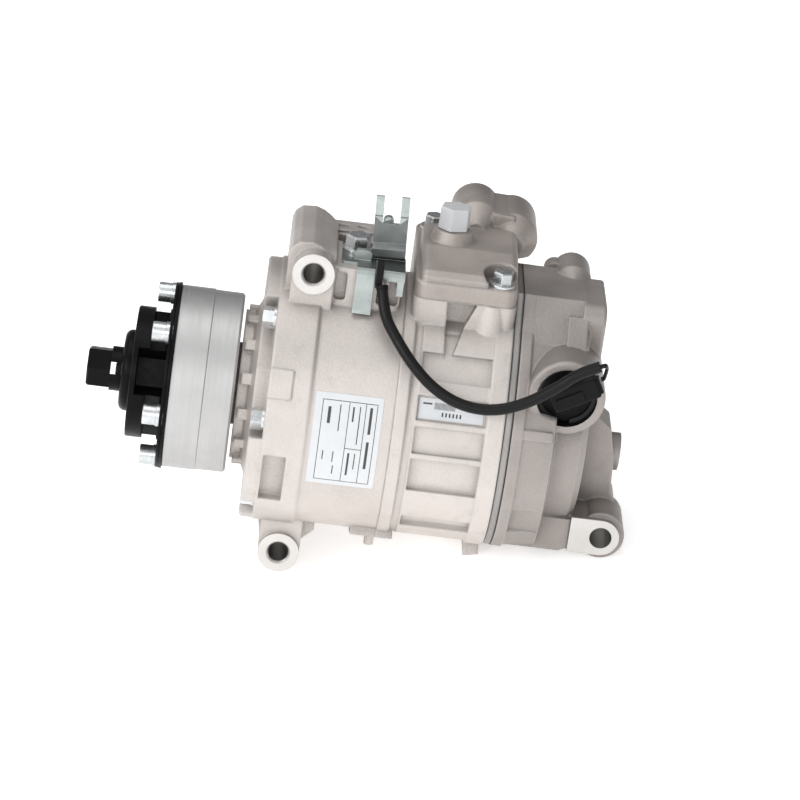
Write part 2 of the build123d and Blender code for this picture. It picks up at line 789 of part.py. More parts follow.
with BuildPart() as rear_housing:
    with BuildSketch(Plane.XZ):
        with BuildLine():
            Polyline(
                (rear_start, 0),
                (rear_start, rim_r - 0.3),
                (lip_end, rim_r - 0.3),
                (lip_end + 0.4, barrel_r - 0.4),
                (rear_step, barrel_r - 1.4),
                (rear_step + 1.5, 45.0),
                (rear_end - 3, 44.0),
                (rear_end, 41.0),
                (rear_end, 0),
                close=True,
            )
        make_face()
    revolve(axis=Axis.X)
    # raised deck along the top, rounded into the barrel
    extrude(stack_outline(rear_start), amount=lip_end - rear_start)
    add(rear_deck.part)
    # boss at the back of the deck and plate on the end
    with BuildSketch(facing(37)):
        with Locations((211.6, 59.6)):
            Circle(8.6)
    extrude(amount=18)
    with BuildSketch(facing(19)):
        with Locations((211.6, 59.6)):
            Circle(8.6)
    extrude(amount=7, taper=35)
    with BuildSketch(facing(34)):
        with Locations((203.4, 61.4)):
            Circle(4.6)
    extrude(amount=8)
    with BuildSketch(across(215)):
        with Locations((0, 45.5)):
            RectangleRounded(46, 37, 8)
    extrude(amount=end_plate_x - 215)
    fillet(rear_housing.faces().sort_by(Axis.X)[-1].edges(), radius=1.5)
    # raised field in front of the end plate, and the ridge on the side
    with BuildSketch(across(208.6)):
        with BuildLine():
            Polyline((-30, 40), (-34.5, 46), (-32.6, 49.4), (-22.0, 59.2), (-16, 58), (-16, 40), close=True)
        make_face()
    extrude(amount=deck_end - 1.5 - 208.6)
    extrude(sector(lip_end, 50, 58.4, 12.5, 16.8), amount=rear_step - 1 - lip_end)
    # collar of the control valve
    with BuildSketch(facing(collar_y)):
        with Locations((valve_x, valve_z)):
            Circle(collar_r)
    extrude(amount=-42)
    fillet(
        rear_housing.edges()
        .filter_by(GeomType.CIRCLE)
        .filter_by(lambda e: abs(e.radius - collar_r) < 0.01 and e.center().Y < collar_y + 0.1),
        radius=1.5,
    )
    # arm and ear of the rear mounting
    with BuildSketch(facing(-10)):
        with BuildLine():
            Polyline(
                (218, 16),
                (225, 12),
                (230.7, 8),
                (236.4, 3.6),
                (239.4, -10),
                (240.4, -27),
                (243, -32),
                (243, -48),
                (222, -50),
                (212, -42),
                (210, -32),
                (219, -20),
                close=True,
            )
        make_face()
    extrude(amount=-20)
    with BuildSketch(facing(-28)):
        with Locations((ear_x, ear_z)):
            Circle(10.8)
        with Locations((ear_x - 12, ear_z)):
            Rectangle(24, 2 * ear_half)
    extrude(amount=-24)
    with BuildSketch(facing(ear_face_y)):
        with Locations((ear_x, ear_z)):
            Circle(ear_half)
        with Locations((ear_x - 7.1, ear_z)):
            Rectangle(14.2, 2 * ear_half)
    extrude(amount=-10)
    with BuildSketch(across(236)):
        with Locations((0, -10.8)):
            Circle(8.6)
    extrude(amount=6.2)
    # foot of the casting that carries the ear forward
    with BuildSketch(facing(-30)):
        with BuildLine():
            Polyline((196, -34), (222.6, -34), (222.6, -47.8), (219, -49.6), (196, -49.6), close=True)
        make_face()
    extrude(amount=-24)
    # slanted field below the side panel
    extrude(sector(lip_end + 0.4, 56.6, 62, -40, -23), amount=rear_step - lip_end, mode=Mode.SUBTRACT)
    # machined and cored spaces
    with BuildSketch(facing(ear_face_y)):
        with Locations((ear_x, ear_z)):
            Circle(ear_bore_r)
    extrude(amount=-50, mode=Mode.SUBTRACT)
    with BuildSketch(facing(collar_y)):
        with Locations((valve_x, valve_z)):
            Circle(valve_mouth_r)
    extrude(amount=-(valve_seat_y - collar_y), mode=Mode.SUBTRACT)
    with BuildSketch(facing(valve_seat_y)):
        with Locations((valve_x, valve_z)):
            Circle(valve_bore_r)
    extrude(amount=-(valve_bore_end - valve_seat_y), mode=Mode.SUBTRACT)
    extrude(ring(rear_start, 47.0, 29.0), amount=10.0, mode=Mode.SUBTRACT)
    with BuildSketch(across(rear_start)):
        Circle(24.0)
    extrude(amount=9.0, mode=Mode.SUBTRACT)
    extrude(bolt_holes(rear_start, bolt_r), amount=16.5, mode=Mode.SUBTRACT)
rear_housing.part.label = "rear_housing"
export_step(rear_housing.part, "parts/rear_housing.step")

with BuildPart() as through_bolts:
    with BuildSketch(across(rim_end - 1.2)):
        with polar(bolt_circle_r, cylinders, first_bolt):
            Circle(5.0)
    extrude(amount=1.2)
    with BuildSketch(across(rim_end - 6.0)):
        with polar(bolt_circle_r, cylinders, first_bolt):
            RegularPolygon(bolt_head_af / 2, 6, major_radius=False)
    extrude(amount=4.8)
    with BuildSketch(across(rim_end)):
        with polar(bolt_circle_r, cylinders, first_bolt):
            Circle(bolt_r)
    extrude(amount=rear_start + 14.0 - rim_end)
through_bolts.part.label = "through_bolts"
export_step(through_bolts.part, "parts/through_bolts.step")

# ==== port cover ====

with BuildPart() as cover_gasket:
    with BuildSketch(Plane.XY.offset(deck_z)):
        with Locations(((cover_x0 + block_end) / 2, 8.5)):
            RectangleRounded(block_end - cover_x0 - 1, 74, 4)
        with Locations(((cover_x0 + block_end) / 2, 5)):
            RectangleRounded(26, 40, 4, mode=Mode.SUBTRACT)
        with Locations(*cover_bolts):
            Circle(3.2, mode=Mode.SUBTRACT)
    extrude(amount=gasket_t)
cover_gasket.part.label = "cover_gasket"
export_step(cover_gasket.part, "parts/cover_gasket.step")

body_x0, body_x1 = 141.4, 184.0
with BuildPart() as cover_body:
    with BuildSketch(across(body_x0)):
        with BuildLine():
            Polyline(
                (-29.6, deck_z + 2),
                (-29.6, 72.4),
                (-26.6, 74.6),
                (-6, cover_top),
                (38, cover_top),
                (43, cover_top - 4),
                (43, deck_z + 2),
                close=True,
            )
        make_face()
    extrude(amount=body_x1 - body_x0)
    body_ends = cover_body.faces().filter_by(Axis.X)
    fillet(body_ends.edges(), radius=3.0)
    # the back corner makes way for its screw
    with BuildSketch(Plane.XY.offset(flange_top)):
        with Locations((143, 42)):
            Circle(20)
    extrude(amount=20, mode=Mode.SUBTRACT)

with BuildPart() as port_cover:
    with BuildSketch(Plane.XY.offset(deck_z + gasket_t)):
        with Locations(((cover_x0 + cover_x1) / 2, (cover_y0 + cover_y1) / 2)):
            RectangleRounded(cover_x1 - cover_x0, cover_y1 - cover_y0, 5.5)
    extrude(amount=flange_top - deck_z - gasket_t)
    fillet(port_cover.faces().sort_by(Axis.Z)[-1].edges(), radius=1.2)
    add(cover_body.part)
    with BuildSketch(Plane.XY.offset(cover_top - 1)):
        with Locations((service_x, service_y - 1)):
            Circle(10.2)
    extrude(amount=service_z - cover_top + 1, taper=20)
    # suction and discharge necks, open towards the back
    for x, z, radius in ((suction_x, suction_z, suction_r), (discharge_x, discharge_z, discharge_r)):
        with BuildSketch(facing(port_y1)):
            with Locations((x, z)):
                Circle(radius)
        extrude(amount=port_y1 - port_y0)
        with BuildSketch(facing(port_y0)):
            with Locations((x, z)):
                Circle(radius)
        extrude(amount=10, taper=35)
    with BuildSketch(facing(port_y1)):
        with BuildLine():
            Polyline((suction_x, 66), (discharge_x, 64), (discharge_x, 84.4), (suction_x + 7, 84.8), close=True)
        make_face()
    extrude(amount=port_y1 - port_y0 + 4)
    # the underside stays flat over the gasket and clear of the plates behind it
    with BuildSketch(Plane.XY.offset(deck_z + gasket_t)):
        with Locations((170, 0)):
            Rectangle(90, 97.2)
    extrude(amount=-25, mode=Mode.SUBTRACT)
    with BuildSketch(Plane.XY.offset(stack_top + 1)):
        with Locations((cover_x1 + 10, 0)):
            Rectangle(20, 76)
    extrude(amount=-25, mode=Mode.SUBTRACT)
    # muffler chamber, port bores and screw holes
    with BuildSketch(Plane.XY.offset(deck_z + gasket_t)):
        with Locations((161.0, 2.0)):
            RectangleRounded(32, 32, 5)
    extrude(amount=12.0, mode=Mode.SUBTRACT)
    for x, z, radius in (
        (suction_x, suction_z, suction_bore_r),
        (discharge_x + 1.5, discharge_z, discharge_bore_r),
    ):
        with BuildSketch(facing(port_y1)):
            with Locations((x, z)):
                Circle(radius)
        extrude(amount=port_y1 - port_bore_end, mode=Mode.SUBTRACT)
    with BuildSketch(facing(port_bore_end + 1)):
        with Locations((suction_x, 71.0)):
            Circle(3.4)
    extrude(amount=17, mode=Mode.SUBTRACT)
    with BuildSketch(facing(port_y1)):
        with Locations((stud_x, stud_z)):
            Circle(stud_r)
    extrude(amount=16, mode=Mode.SUBTRACT)
    for radius, depth in ((4.4, 8), (1.5, 10)):
        with BuildSketch(Plane.XY.offset(service_z)):
            with Locations((service_x, service_y)):
                Circle(radius)
        extrude(amount=-depth, mode=Mode.SUBTRACT)
    for place, clearance in zip(cover_bolts, (8.8, 7.0)):
        with BuildSketch(Plane.XY.offset(flange_top)):
            with Locations(place):
                Circle(clearance)
        extrude(amount=25, mode=Mode.SUBTRACT)
        with BuildSketch(Plane.XY.offset(deck_z)):
            with Locations(place):
                Circle(2.7)
        extrude(amount=10, mode=Mode.SUBTRACT)
port_cover.part.label = "port_cover"
export_step(port_cover.part, "parts/port_cover.step")

with BuildPart() as cover_screws:
    with BuildSketch(Plane.XY.offset(flange_top)):
        with Locations(*cover_bolts):
            Circle(6.1)
    extrude(amount=1.3)
    with BuildSketch(Plane.XY.offset(flange_top + 1.3)):
        with Locations(*cover_bolts):
            RegularPolygon(4.0, 6, major_radius=False, rotation=20)
    extrude(amount=5.4)
    chamfer(cover_screws.faces().group_by(Axis.Z)[-1].edges(), length=0.5)
    with BuildSketch(Plane.XY.offset(flange_top)):
        with Locations(*cover_bolts):
            Circle(2.5)
    extrude(amount=-(flange_top - deck_z + 10))
cover_screws.part.label = "cover_screws"
export_step(cover_screws.part, "parts/cover_screws.step")

with BuildPart() as service_valve:
    with BuildSketch(Plane.XY.offset(service_z - 8)):
        with Locations((service_x, service_y)):
            Circle(4.4)
    extrude(amount=8)
    with BuildSketch(Plane.XY.offset(service_z)):
        with Locations((service_x, service_y)):
            Circle(5.0)
    extrude(amount=1.5)
    with BuildSketch(Plane.XY.offset(service_z + 1.5)):
        with Locations((service_x, service_y)):
            Circle(4.4)
    extrude(amount=5.6)
    with BuildSketch(Plane.XY.offset(service_z - 8)):
        with Locations((service_x, service_y)):
            Circle(1.25)
    extrude(amount=15.1, mode=Mode.SUBTRACT)
    with BuildSketch(Plane.XY.offset(service_z + 3)):
        with Locations((service_x, service_y)):
            Circle(3.0)
    extrude(amount=4.1, mode=Mode.SUBTRACT)
service_valve.part.label = "service_valve"
export_step(service_valve.part, "parts/service_valve.step")

with BuildPart() as valve_core_pin:
    with BuildSketch(Plane.XY.offset(service_z - 5)):
        with Locations((service_x, service_y)):
            Circle(1.25 - fit)
    extrude(amount=10.6)
    with BuildSketch(Plane.XY.offset(service_z + 5)):
        with Locations((service_x, service_y)):
            Circle(1.9)
    extrude(amount=0.8)
valve_core_pin.part.label = "valve_core_pin"
export_step(valve_core_pin.part, "parts/valve_core_pin.step")

cap_start, cap_height = service_z + 0.3, 10.0
with BuildPart() as service_cap:
    with BuildSketch(Plane.XY.offset(cap_start)):
        with Locations((service_x, service_y)):
            RegularPolygon(7.4, 6, rotation=18.5)
    extrude(amount=cap_height, taper=1.5)
    fillet(service_cap.faces().sort_by(Axis.Z)[-1].edges(), radius=0.7)
    with BuildSketch(Plane.XY.offset(cap_start)):
        with Locations((service_x, service_y)):
            Circle(5.25)
    extrude(amount=cap_height - 1.6, mode=Mode.SUBTRACT)
service_cap.part.label = "service_cap"
export_step(service_cap.part, "parts/service_cap.step")

# ==== control valve ====


def valve_cylinder(start, end, radius):
    """A cylinder on the control valve's axis, from one depth to another."""
    with BuildSketch(facing(start)) as face:
        with Locations((valve_x, valve_z)):
            Circle(radius)
    return extrude(face.sketch, amount=-(end - start), mode=Mode.PRIVATE)


with BuildPart() as control_valve:
    add(valve_cylinder(valve_seat_y, -12.0, valve_bore_r - 0.05))
    add(valve_cylinder(-12.0, 15.0, 9.6))
    add(valve_cylinder(-30.0, 14.0, 3.0 + fit), mode=Mode.SUBTRACT)
    for depth in (-8.0, 2.0, 11.0):
        add(valve_cylinder(depth, depth + 2.0, 12.0) - valve_cylinder(depth, depth + 2.0, 8.6), mode=Mode.SUBTRACT)
control_valve.part.label = "control_valve"
export_step(control_valve.part, "parts/control_valve.step")

with BuildPart() as valve_seals:
    for depth in (-8.0, 2.0, 11.0):
        add(valve_cylinder(depth, depth + 2.0, valve_bore_r) - valve_cylinder(depth, depth + 2.0, 8.6))
valve_seals.part.label = "valve_seals"
export_step(valve_seals.part, "parts/valve_seals.step")

with BuildPart() as valve_plunger:
    add(valve_cylinder(-28.5, 12.0, 3.0))
valve_plunger.part.label = "valve_plunger"
export_step(valve_plunger.part, "parts/valve_plunger.step")

plug_x, plug_z, plug_angle = 213.4, 36.6, 29.0
plug_y = collar_y - 0.4
with BuildPart() as valve_head:
    add(valve_cylinder(-46.5, valve_seat_y, valve_mouth_r - 0.6))
    with BuildSketch(facing(-46.5)):
        with Locations((valve_x + 1.8, valve_z + 2.2)):
            RectangleRounded(10, 6.6, 1.2, rotation=plug_angle)
    extrude(amount=-46.5 - plug_y)
valve_head.part.label = "valve_head"
export_step(valve_head.part, "parts/valve_head.step")

with BuildPart() as valve_circlip:
    add(valve_cylinder(-48.0, -46.9, valve_mouth_r) - valve_cylinder(-48.0, -46.9, valve_mouth_r - 1.9))
    with BuildSketch(facing(-49)):
        with Locations((valve_x, valve_z - valve_mouth_r)):
            Rectangle(6, 8)
    extrude(amount=-3, mode=Mode.SUBTRACT)
valve_circlip.part.label = "valve_circlip"
export_step(valve_circlip.part, "parts/valve_circlip.step")


def on_plug(along, aside=0.0):
    """A place on the plug's face, along its length and aside from its middle line."""
    c, s = cos(radians(plug_angle)), sin(radians(plug_angle))
    return Location((plug_x + along * c - aside * s, plug_z + along * s + aside * c), plug_angle)


with BuildPart() as valve_plug:
    with BuildSketch(facing(plug_y)):
        with Locations(on_plug(0)):
            RectangleRounded(21.6, 9.4, 1.6)
    extrude(amount=6.4)
    fillet(valve_plug.faces().sort_by(Axis.Y)[0].edges(), radius=1.0)
    with BuildSketch(facing(plug_y - 6.0)):
        with Locations(on_plug(-2.5, -1.0)):
            Rectangle(12, 4.6)
    extrude(amount=1.2)
    with BuildSketch(facing(plug_y)):
        with Locations(on_plug(10.6)):
            RectangleRounded(3.0, 6.8, 0.8)
    extrude(amount=5.6)
valve_plug.part.label = "valve_plug"
export_step(valve_plug.part, "parts/valve_plug.step")

# ==== harness bracket, connector and cable ====

sheet_t = 1.5


def folded_sheet(points, start, width):
    """A strip of bent sheet from start along X; points give its middle line in Y and Z."""
    with BuildSketch(across(start)) as profile:
        with BuildLine() as middle:
            Polyline(*points)
        trace(middle.line, line_width=sheet_t)
    return extrude(profile.sketch, amount=width, mode=Mode.PRIVATE)


with BuildPart() as bracket_plate:
    plate_bends = ((-8.8, 70.75), (-11.2, 71.6), (-12.2, 73), (-12.2, 76), (-9.6, 78), (-9.6, 87.4))
    add(folded_sheet(plate_bends, 119.4, 14.8))
    prong_bends = ((-9.6, 86.9), (-9.6, 90.9), (-10.6, 91.7), (-10.6, 92.7), (-9.6, 93.5), (-9.6, 99.8))
    for start in (119.4, 130.6):
        add(folded_sheet(prong_bends, start, 3.6))
    with BuildSketch(facing(-9.0)):
        with Locations((125.6, 87.6)):
            Circle(2.3)
    extrude(amount=-3.6)

with BuildPart() as harness_bracket:
    with BuildSketch(Plane.XY.offset(pedestal_top)):
        with Locations((114.4, -6.6)):
            RectangleRounded(16.0, 27.2, 2)
        with Locations((117.4, -18)):
            Rectangle(8.1, 15.6)
        with Locations((127.0, -17)):
            RectangleRounded(15.2, 18, 1)
        with Locations((123.3, -21.5)):
            Rectangle(3.3, 13, mode=Mode.SUBTRACT)
        with Locations((bracket_bolt_x, bracket_bolt_y)):
            Circle(3.3, mode=Mode.SUBTRACT)
    extrude(amount=sheet_t)
    with BuildSketch(facing(-16.2)):
        with BuildLine():
            Polyline((111.8, 71), (111.8, 74.6), (113.2, 76), (118.2, 76), (119.4, 74.8), (119.4, 71), close=True)
        make_face()
    extrude(amount=-3)
    strap_bends = ((-25.4, 70.75), (-26.9, 70.2), (-27.6, 69), (-27.6, 57.5), (-30.4, 51.6))
    add(folded_sheet(strap_bends, 113.35, 8.1))
    for start, width, lower_end in ((125.0, 9.6, 67.4), (131.4, 3.0, 61.0)):
        add(folded_sheet(((-25.4, 70.75), (-26.9, 70.2), (-27.6, 69), (-27.6, lower_end)), start, width))
    add(bracket_plate.part.rotate(Axis((119.4, 0, pedestal_top), (0, 1, 0)), -2.4))
harness_bracket.part.label = "harness_bracket"
export_step(harness_bracket.part, "parts/harness_bracket.step")

with BuildPart() as bracket_bolt:
    bolt_place = (bracket_bolt_x, bracket_bolt_y)
    with BuildSketch(Plane.XY.offset(pedestal_top + sheet_t)):
        with Locations(bolt_place):
            Circle(6.6)
    extrude(amount=1.4)
    with BuildSketch(Plane.XY.offset(pedestal_top + sheet_t + 1.4)):
        with Locations(bolt_place):
            RegularPolygon(5.0, 6, major_radius=False, rotation=12)
    extrude(amount=6.0)
    chamfer(bracket_bolt.faces().sort_by(Axis.Z)[-1].edges(), length=0.7)
    with BuildSketch(Plane.XY.offset(pedestal_top + sheet_t)):
        with Locations(bolt_place):
            Circle(3.0)
    extrude(amount=-11.4)
bracket_bolt.part.label = "bracket_bolt"
export_step(bracket_bolt.part, "parts/bracket_bolt.step")

cable_exit = Vector(125.2, -32.0, 64.6)
cable_aim = Vector(127.2, -36.4, 55.0)  # first corner of the cable's route
with BuildPart() as harness_connector:
    with BuildSketch(Plane.XY.offset(65)):
        with Locations((123.3, -28.8)):
            RectangleRounded(3.0, 6.6, 0.6)
    extrude(amount=11)
    with BuildSketch(Plane(cable_exit, z_dir=cable_exit - cable_aim)):
        Circle(2.7)
    extrude(amount=2.0)
harness_connector.part.label = "harness_connector"
export_step(harness_connector.part, "parts/harness_connector.step")

cable_route = (
    tuple(cable_exit),
    tuple(cable_aim),
    (133.0, -44.4, 48.4),
    (141.5, -52.2, 39.6),
    (152.0, -58.4, 31.8),
    (165.0, -62.2, 27.0),
    (179.0, -63.6, 27.0),
    (192.5, -64.0, 32.6),
    (205.0, -64.0, 42.0),
    (213.6, -64.0, 50.0),
    (221.6, -64.0, 53.6),
)
wire_lead_in = on_plug(14.0, 2.0).position
wire_end = on_plug(12.7, 2.0).position
wire_route = (
    (221.6, -64.0, 53.6),
    (223.6, -64.0, 54.5),
    (224.8, -60.9, 52.6),
    (224.9, -58.2, 49.0),
    (wire_lead_in.X, -55.5, wire_lead_in.Y),
    (wire_end.X, -55.5, wire_end.Y),
)


def corner_radii(route):
    """The largest arcs that a route's runs leave room for, one for each corner."""
    points = [Vector(*point) for point in route]
    radii = []
    for before, corner, after in zip(points, points[1:], points[2:]):
        turn = radians((corner - before).get_angle(after - corner))
        shorter = min((corner - before).length, (after - corner).length)
        radii.append(0.45 * shorter * cos(turn / 2) / sin(turn / 2))
    return radii


def tube_along(route, diameter, aside=0.0):
    """A round tube along a route of straight runs and tangent arcs, moved aside in Y."""
    points = [(x, y + aside, z) for x, y, z in route]
    with BuildLine() as path:
        FilletPolyline(*points, radius=corner_radii(points))
    with BuildSketch(Plane(path.line @ 0, z_dir=path.line % 0)) as end_face:
        Circle(diameter / 2)
    with BuildPart() as tube:
        sweep(end_face.sketch, path=path.line)
    length = sum(edge.length for edge in path.line.edges())
    section = pi * diameter**2 / 4
    print(f"tube: length {length:.1f}, radii", [round(r, 1) for r in corner_radii(points)])
    print(f"tube: volume {tube.part.volume:.1f}, section x length {section * length:.1f}")
    return tube.part


with BuildPart() as harness_cable:
    add(tube_along(cable_route, cable_d))
harness_cable.part.label = "harness_cable"
export_step(harness_cable.part, "parts/harness_cable.step")

with BuildPart() as plug_wires:
    for aside in (-0.85, 0.85):
        add(tube_along(wire_route, 1.4, aside))
plug_wires.part.label = "plug_wires"
export_step(plug_wires.part, "parts/plug_wires.step")

# ==== labels ====

with BuildPart() as rating_label:
    with BuildSketch(across(102.0)):
        with BuildLine():
            CenterArc((0, 0), barrel_r + 0.15, 157, 43)
            CenterArc((0, 0), barrel_r, 157, 43)
            Line(ring_point(barrel_r, 23), ring_point(barrel_r + 0.15, 23))
            Line(ring_point(barrel_r, -20), ring_point(barrel_r + 0.15, -20))
        make_face()
    extrude(amount=29.8)
rating_label.part.label = "rating_label"
export_step(rating_label.part, "parts/rating_label.step")

label_r = 56.52
with BuildPart() as small_label:
    place = Plane(origin=(161.3, *ring_point(label_r, 21)), x_dir=(1, 0, 0), z_dir=(0, *ring_point(1, 21)))
    with BuildSketch(place):
        Rectangle(28.6, 9.2)
    extrude(amount=0.15)
small_label.part.label = "small_label"
export_step(small_label.part, "parts/small_label.step")
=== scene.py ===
"""Looks of the automotive AC compressor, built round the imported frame. Metres, X along the shaft, Z up."""

import math

import bmesh
import bpy
from mathutils import Matrix, Vector


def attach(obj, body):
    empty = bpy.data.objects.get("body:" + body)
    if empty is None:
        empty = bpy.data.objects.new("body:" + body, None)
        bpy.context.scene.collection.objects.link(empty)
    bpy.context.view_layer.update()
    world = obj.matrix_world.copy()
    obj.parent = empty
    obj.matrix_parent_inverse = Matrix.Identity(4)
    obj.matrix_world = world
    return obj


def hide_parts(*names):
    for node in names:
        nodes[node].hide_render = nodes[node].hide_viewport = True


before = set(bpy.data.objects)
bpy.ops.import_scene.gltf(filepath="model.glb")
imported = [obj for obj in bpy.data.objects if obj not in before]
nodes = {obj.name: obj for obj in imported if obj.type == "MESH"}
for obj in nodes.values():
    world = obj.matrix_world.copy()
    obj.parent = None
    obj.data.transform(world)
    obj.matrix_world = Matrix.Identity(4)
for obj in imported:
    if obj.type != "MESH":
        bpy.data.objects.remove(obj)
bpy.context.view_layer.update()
mm = 0.001

# ---- camera at the photograph's viewing angle ----
yaw, pitch, roll = (math.radians(a) for a in (2.75, 22.0, 7.93))
target = Vector((0.1410, 0.0, 0.0013))
distance = 1.7
view_width = 0.36  # what the frame covers across at the target

right = Vector((math.cos(yaw), -math.sin(yaw), 0))
ahead = Vector((math.sin(yaw) * math.cos(pitch), math.cos(yaw) * math.cos(pitch), -math.sin(pitch)))
upward = right.cross(ahead)
right_rolled = right * math.cos(roll) + upward * math.sin(roll)
up_rolled = upward * math.cos(roll) - right * math.sin(roll)

camera_data = bpy.data.cameras.new("camera")
camera_data.sensor_width = 36
camera_data.lens = 36 * distance / view_width
camera_data.clip_end = 50
camera = bpy.data.objects.new("camera", camera_data)
turn = Matrix((right_rolled, up_rolled, -ahead)).transposed().to_4x4()
camera.matrix_world = Matrix.Translation(target - ahead * distance) @ turn
bpy.context.scene.collection.objects.link(camera)
bpy.context.scene.camera = camera
bpy.context.scene.view_settings.view_transform = "Standard"


# ---- node helpers ----


class Shader:
    """A material being built: its tree, its shader and the object-space coordinates."""

    def __init__(self, name):
        self.material = bpy.data.materials.new(name)
        self.material.use_nodes = True
        self.tree = self.material.node_tree
        self.shader = self.tree.nodes["Principled BSDF"]
        self.coords = self.add("ShaderNodeTexCoord").outputs["Object"]

    def add(self, kind, **values):
        node = self.tree.nodes.new(kind)
        for key, value in values.items():
            if key in node.inputs:
                node.inputs[key].default_value = value
            else:
                setattr(node, key, value)
        return node

    def link(self, source, target):
        self.tree.links.new(source, target)

    def base(self, **sockets):
        for key, value in sockets.items():
            self.shader.inputs[key.replace("_", " ")].default_value = value

    def noise(self, scale, detail=2.0, roughness=0.5, stretch=None):
        place = self.coords
        if stretch:
            mapping = self.add("ShaderNodeMapping")
            mapping.inputs["Scale"].default_value = stretch
            self.link(self.coords, mapping.inputs["Vector"])
            place = mapping.outputs["Vector"]
        node = self.add("ShaderNodeTexNoise", Scale=scale, Detail=detail, Roughness=roughness)
        self.link(place, node.inputs["Vector"])
        return node.outputs["Fac"]

    def ramp(self, source, stops):
        node = self.add("ShaderNodeValToRGB")
        elements = node.color_ramp.elements
        while len(elements) > 1:
            elements.remove(elements[-1])
        for count, (position, colour) in enumerate(stops):
            element = elements[0] if count == 0 else elements.new(position)
            element.position = position
            element.color = colour if len(colour) == 4 else (*colour, 1)
        self.link(source, node.inputs["Fac"])
        return node.outputs["Color"]

    def remap(self, source, low, high, new_low, new_high):
        node = self.add("ShaderNodeMapRange")
        for key, value in zip(("From Min", "From Max", "To Min", "To Max"), (low, high, new_low, new_high)):
            node.inputs[key].default_value = value
        self.link(source, node.inputs["Value"])
        return node.outputs["Result"]

    def math(self, operation, first, second=None):
        node = self.add("ShaderNodeMath", operation=operation)
        for socket, value in zip(node.inputs, (first, second)):
            if value is None:
                continue
            if isinstance(value, (int, float)):
                socket.default_value = value
            else:
                self.link(value, socket)
        return node.outputs["Value"]

    def mix(self, factor, first, second, blend="MIX"):
        node = self.add("ShaderNodeMix", data_type="RGBA", blend_type=blend)
        for name, value in (("Factor_Float", factor), ("A_Color", first), ("B_Color", second)):
            socket = next(s for s in node.inputs if s.identifier == name)
            if isinstance(value, (int, float)):
                socket.default_value = value
            elif isinstance(value, tuple):
                socket.default_value = value if len(value) == 4 else (*value, 1)
            else:
                self.link(value, socket)
        return next(s for s in node.outputs if s.identifier == "Result_Color")

    def worn_edges(self, radius):
        """The rounded normal, and how far it turns from the flat one: 0 on a face, towards 1 on an edge."""
        rounded = self.add("ShaderNodeBevel", samples=4)
        rounded.inputs["Radius"].default_value = radius
        flat = self.add("ShaderNodeNewGeometry").outputs["Normal"]
        dot = self.add("ShaderNodeVectorMath", operation="DOT_PRODUCT")
        self.link(rounded.outputs["Normal"], dot.inputs[0])
        self.link(flat, dot.inputs[1])
        edge = self.remap(dot.outputs["Value"], 1.0, 0.72, 0.0, 1.0)
        return rounded.outputs["Normal"], edge

    def hollows(self, reach):
        """How enclosed the surface is within reach: 0 in the open, towards 1 in a corner."""
        node = self.add("ShaderNodeAmbientOcclusion", samples=6, only_local=True, Distance=reach)
        return self.remap(node.outputs["AO"], 0.35, 1.0, 1.0, 0.0)

    def bump(self, height, distance, strength=1.0, normal=None):
        node = self.add("ShaderNodeBump", Strength=strength, Distance=distance)
        self.link(height, node.inputs["Height"])
        if normal is not None:
            self.link(normal, node.inputs["Normal"])
        return node.outputs["Normal"]

    def finish(self, colour=None, roughness=None, normal=None):
        for source, name in ((colour, "Base Color"), (roughness, "Roughness"), (normal, "Normal")):
            if source is not None:
                self.link(source, self.shader.inputs[name])
        return self.material


def cast_skin(name, light, dark, grain=1.0):
    """Blasted cast aluminium: fine grain, clouds of tone, corners darkened as grime and painted shade,
    brighter rubbed edges.
    """
    m = Shader(name)
    m.base(Metallic=0.75, Specular_IOR_Level=0.35)
    normal, edge = m.worn_edges(1.5 * mm)
    clouds = m.noise(26, 3, 0.6)
    stains = m.noise(95, 4, 0.65)
    tone = m.ramp(clouds, ((0.32, dark), (0.68, light)))
    spots = m.remap(stains, 0.56, 0.74, 0.0, 0.30)
    tone = m.mix(spots, tone, tuple(c * 0.72 for c in dark))
    # Corners darken by ambient occlusion: partly the grime of unblasted corners, partly painted shade.
    corners = m.math("MULTIPLY", m.hollows(10 * mm), 0.62)
    tone = m.mix(corners, tone, tuple(c * 0.42 for c in dark))
    grains = m.noise(1100, 3, 0.75)
    tone = m.mix(m.remap(grains, 0.35, 0.75, 0.0, 0.30), tone, tuple(min(1, c * 1.25) for c in light))
    tone = m.mix(m.math("MULTIPLY", edge, 0.38), tone, (0.84, 0.83, 0.81))
    rough = m.remap(clouds, 0.3, 0.7, 0.46, 0.62)
    fine = m.bump(grains, 0.22 * mm * grain, 0.7, normal)
    broad = m.bump(m.noise(260, 2, 0.5), 0.25 * mm * grain, 0.30, fine)
    return m.finish(tone, rough, broad)


def machined(name, colour, roughness=0.30, lines=None, marked=0.16):
    """Turned or milled metal. lines is the axis that the tool marks repeat along."""
    m = Shader(name)
    m.base(Metallic=1.0)
    normal, edge = m.worn_edges(0.35 * mm)
    stretch = {"x": (1, 0.02, 0.02), "y": (0.02, 1, 0.02), None: (1, 1, 1)}[lines]
    marks = m.noise(1100 if lines else 700, 3, 0.6, stretch)
    tone = m.ramp(m.noise(60, 3, 0.6), ((0.3, tuple(c * 0.9 for c in colour)), (0.7, colour)))
    tone = m.mix(m.remap(marks, 0.3, 0.7, 0.0, marked), tone, tuple(c * 0.75 for c in colour))
    tone = m.mix(m.math("MULTIPLY", edge, 0.4), tone, (0.92, 0.92, 0.92))
    rough = m.remap(marks, 0.3, 0.7, roughness - 0.05, roughness + 0.08)
    return m.finish(tone, rough, m.bump(marks, 0.02 * mm, 0.5, normal))


